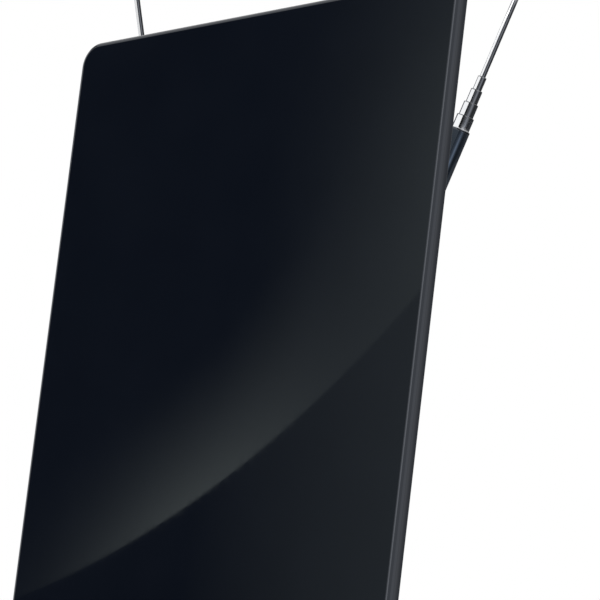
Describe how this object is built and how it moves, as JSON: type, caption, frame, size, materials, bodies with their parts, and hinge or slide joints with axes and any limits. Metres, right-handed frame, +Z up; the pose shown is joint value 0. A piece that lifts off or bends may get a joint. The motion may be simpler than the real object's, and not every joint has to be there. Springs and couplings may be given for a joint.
{
  "type": "flat indoor tv antenna",
  "caption": "Flat leaning panel antenna in a weighted foot, with a pair of swivelling, tilting telescopic rods behind it and a threaded coaxial outlet at the back.",
  "frame": {"origin": "middle of the foot pad's underside, on the surface that the antenna stands on", "axes": "+Z up, +X to the viewer's right, and the panel's front faces -Y and leans back towards +Y"},
  "size_m": [0.279, 0.1225, 0.3752],
  "materials": {
    "gloss_black": "piano gloss",
    "matte_black": "fine moulded texture",
    "rubber": "matte",
    "chrome": "polished",
    "black_tube": "black gloss plating",
    "screw_steel": "plated",
    "ballast_steel": "bare",
    "nickel": "nickel plated",
    "contact_brass": "bare",
    "copper": "etched foil",
    "board": "laminate",
    "ferrite": "ground",
    "insulator": "moulded",
    "lead": "sheathed"
  },
  "bodies": {
    "foot": {"front_cover": "gloss_black", "rear_cover": "matte_black", "element_board": "board", "element_foil": "copper", "panel_screws": "screw_steel", "feed_lead": "lead", "base_cover": "matte_black", "base_plate": "matte_black", "ballast_plate": "ballast_steel", "foot_pad": "rubber", "base_screws": "screw_steel", "panel_fixing_screws": "screw_steel", "matching_board": "board", "board_screws": "screw_steel", "balun_core": "ferrite", "coax_jack_body": "nickel", "coax_jack_insulator": "insulator", "coax_jack_contact": "contact_brass", "coax_jack_washer": "nickel", "coax_jack_nut": "nickel", "solder_tag_left": "screw_steel", "solder_tag_right": "screw_steel", "rod_lead_left": "lead", "rod_lead_right": "lead"},
    "swivel_left": {"swivel_left": "chrome", "swivel_washer_left": "screw_steel", "swivel_screw_left": "screw_steel", "hinge_pin_left": "chrome"},
    "rod_left": {"knuckle_left": "chrome", "tube_1_left": "black_tube"},
    "section_2_left": {"tube_2_left": "chrome"},
    "section_3_left": {"tube_3_left": "chrome"},
    "section_4_left": {"tube_4_left": "chrome"},
    "section_5_left": {"tube_5_left": "chrome"},
    "tip_left": {"tip_rod_left": "chrome", "tip_button_left": "chrome"},
    "swivel_right": {"swivel_right": "chrome", "swivel_washer_right": "screw_steel", "swivel_screw_right": "screw_steel", "hinge_pin_right": "chrome"},
    "rod_right": {"knuckle_right": "chrome", "tube_1_right": "black_tube"},
    "section_2_right": {"tube_2_right": "chrome"},
    "section_3_right": {"tube_3_right": "chrome"},
    "section_4_right": {"tube_4_right": "chrome"},
    "section_5_right": {"tube_5_right": "chrome"},
    "tip_right": {"tip_rod_right": "chrome", "tip_button_right": "chrome"}
  },
  "joints": [
    {"name": "swivel_turn_left", "type": "hinge", "parent": "foot", "child": "swivel_left", "pos_m": [-0.02, 0.00558, 0.07206], "axis": [0, -0.165, -0.9863], "range_deg": [-6.8, 83.2]},
    {"name": "rod_tilt_left", "type": "hinge", "parent": "swivel_left", "child": "rod_left", "pos_m": [-0.02, 0.00558, 0.07206], "axis": [-0.1184, -0.9793, 0.1639], "range_deg": [-21, 69]},
    {"name": "section_2_slide_left", "type": "slide", "parent": "rod_left", "child": "section_2_left", "axis": [-0.3558, 0.1959, 0.9138], "range_m": [0, 0.138]},
    {"name": "section_3_slide_left", "type": "slide", "parent": "section_2_left", "child": "section_3_left", "axis": [-0.3558, 0.1959, 0.9138], "range_m": [0, 0.138]},
    {"name": "section_4_slide_left", "type": "slide", "parent": "section_3_left", "child": "section_4_left", "axis": [-0.3558, 0.1959, 0.9138], "range_m": [0, 0.138]},
    {"name": "section_5_slide_left", "type": "slide", "parent": "section_4_left", "child": "section_5_left", "axis": [-0.3558, 0.1959, 0.9138], "range_m": [0, 0.138]},
    {"name": "tip_slide_left", "type": "slide", "parent": "section_5_left", "child": "tip_left", "axis": [-0.3558, 0.1959, 0.9138], "range_m": [-0.138, 0]},
    {"name": "swivel_turn_right", "type": "hinge", "parent": "foot", "child": "swivel_right", "pos_m": [0.02, 0.00558, 0.07206], "axis": [0, 0.165, 0.9863], "range_deg": [-6.8, 83.2]},
    {"name": "rod_tilt_right", "type": "hinge", "parent": "swivel_right", "child": "rod_right", "pos_m": [0.02, 0.00558, 0.07206], "axis": [-0.1184, 0.9793, -0.1639], "range_deg": [-21, 69]},
    {"name": "section_2_slide_right", "type": "slide", "parent": "rod_right", "child": "section_2_right", "axis": [0.3558, 0.1959, 0.9138], "range_m": [0, 0.138]},
    {"name": "section_3_slide_right", "type": "slide", "parent": "section_2_right", "child": "section_3_right", "axis": [0.3558, 0.1959, 0.9138], "range_m": [0, 0.138]},
    {"name": "section_4_slide_right", "type": "slide", "parent": "section_3_right", "child": "section_4_right", "axis": [0.3558, 0.1959, 0.9138], "range_m": [0, 0.138]},
    {"name": "section_5_slide_right", "type": "slide", "parent": "section_4_right", "child": "section_5_right", "axis": [0.3558, 0.1959, 0.9138], "range_m": [0, 0.138]},
    {"name": "tip_slide_right", "type": "slide", "parent": "section_5_right", "child": "tip_right", "axis": [0.3558, 0.1959, 0.9138], "range_m": [-0.138, 0]}
  ]
}
